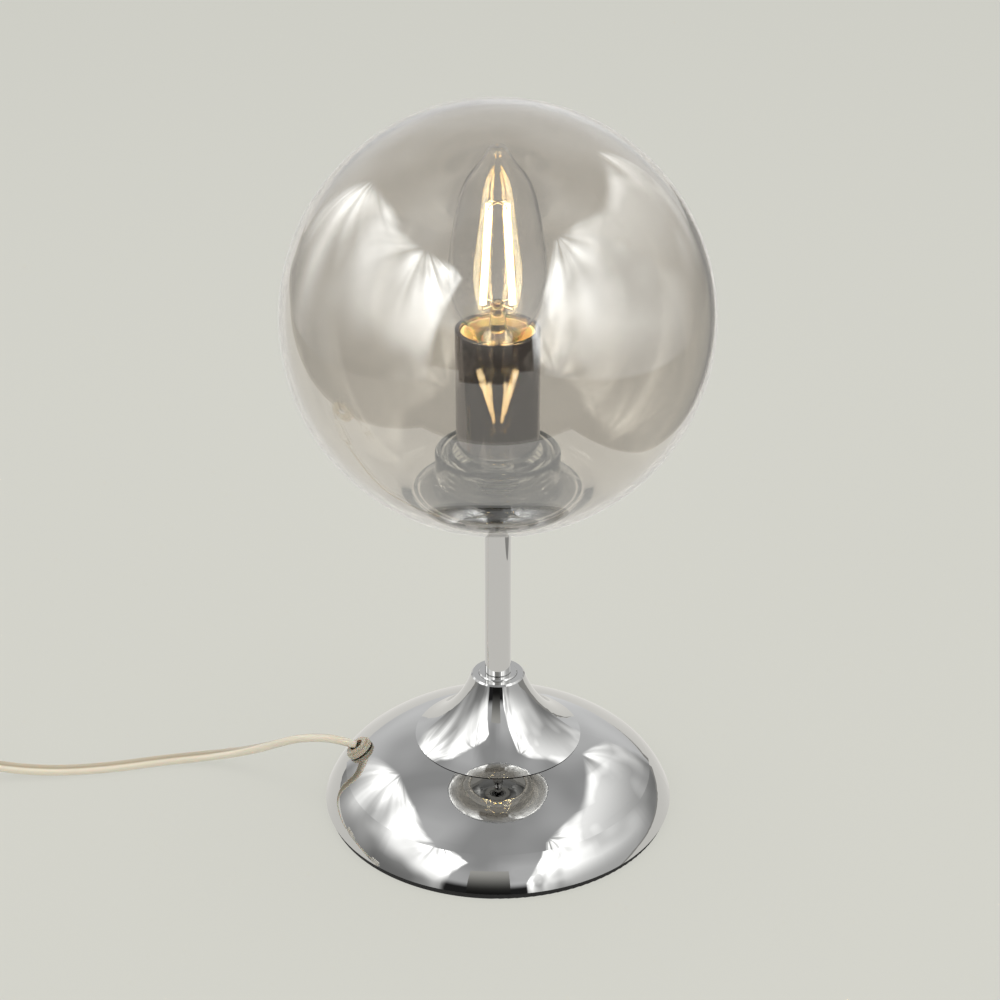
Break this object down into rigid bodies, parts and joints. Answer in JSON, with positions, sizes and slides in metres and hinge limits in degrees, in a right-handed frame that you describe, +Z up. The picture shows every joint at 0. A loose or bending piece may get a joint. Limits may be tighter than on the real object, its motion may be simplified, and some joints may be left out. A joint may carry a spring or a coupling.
{
  "type": "glass globe table lamp",
  "caption": "Table lamp: semi-mirrored glass globe that lifts off a candle-style lampholder, on a thin tube, trumpet collar and domed weighted base, with flat cord, in-line switch and plug.",
  "frame": {"origin": "on the lamp's axis at the base pad's underside, where the lamp stands on the table", "axes": "+Z up along the stem, -Y towards the viewer of the picture, -X towards the side where the cord leaves the base"},
  "size_m": [0.4524, 0.177, 0.2849],
  "materials": {
    "chrome": "mirror polished chrome plate",
    "black_chrome": "dark mirror plate",
    "foam": "matt black foam",
    "iron": "painted casting",
    "zinc": "zinc plated",
    "brass": "plain",
    "smoke_glass": "semi-mirrored, polished",
    "clear_glass": "clear",
    "clear_plastic": "clear moulded",
    "cream_plastic": "glazed",
    "cord_pvc": "translucent beige",
    "white_plastic": "moulded",
    "filament": "phosphor coated strip",
    "wire": "drawn wire",
    "black_glass": "vitrified insulator",
    "lead_brown": "wire jacket",
    "lead_blue": "wire jacket"
  },
  "bodies": {
    "lamp": {"base_pad": "foam", "base_dome": "chrome", "base_weight": "iron", "base_spacer": "zinc", "bottom_washer": "zinc", "bottom_nut": "zinc", "trumpet_cone": "chrome", "mouth_washer": "chrome", "clamp_sleeve": "zinc", "stem_tube": "chrome", "threaded_rod": "zinc", "seat_plate": "chrome", "threaded_collar": "clear_plastic", "seat_nut": "zinc", "holder_standoff": "chrome", "holder_foot": "chrome", "candle_sleeve": "black_chrome", "holder_body": "cream_plastic", "e14_shell": "brass", "centre_contact": "brass", "side_contact": "brass", "holder_screws": "brass", "cord_grommet": "clear_plastic", "cord_run": "cord_pvc", "cord_tail": "cord_pvc", "cord_saddle": "white_plastic", "saddle_screws": "zinc", "terminal_block": "white_plastic", "terminal_screws": "brass", "lead_live": "lead_brown", "lead_neutral": "lead_blue", "cord_coil": "cord_pvc", "coil_tie": "cord_pvc", "switch_case_lower": "white_plastic", "switch_case_upper": "white_plastic", "switch_pin": "zinc", "switch_screws": "zinc", "switch_contacts": "brass", "plug_body": "white_plastic", "plug_pins": "zinc"},
    "globe": {"globe_glass": "smoke_glass", "globe_neck": "clear_glass"},
    "bulb": {"bulb_glass": "clear_glass", "bulb_cap": "zinc", "bulb_insulator": "black_glass", "bulb_tip_contact": "zinc", "bulb_stem": "clear_glass", "filament_strips": "filament", "filament_feet": "wire", "filament_crown": "wire"},
    "rocker": {"switch_rocker": "white_plastic"}
  },
  "joints": [
    {"name": "globe_lift", "type": "slide", "parent": "lamp", "child": "globe", "axis": [0, 0, 1], "range_m": [0, 0.16]},
    {"name": "bulb_turn", "type": "hinge", "parent": "lamp", "child": "bulb", "pos_m": [0, 0, 0.19], "axis": [0, 0, 1], "range_deg": [0, 1080]},
    {"name": "rocker_tip", "type": "hinge", "parent": "lamp", "child": "rocker", "pos_m": [-0.247, 0.0128, 0.0139], "axis": [0, 1, 0], "range_deg": [0, 14]}
  ]
}
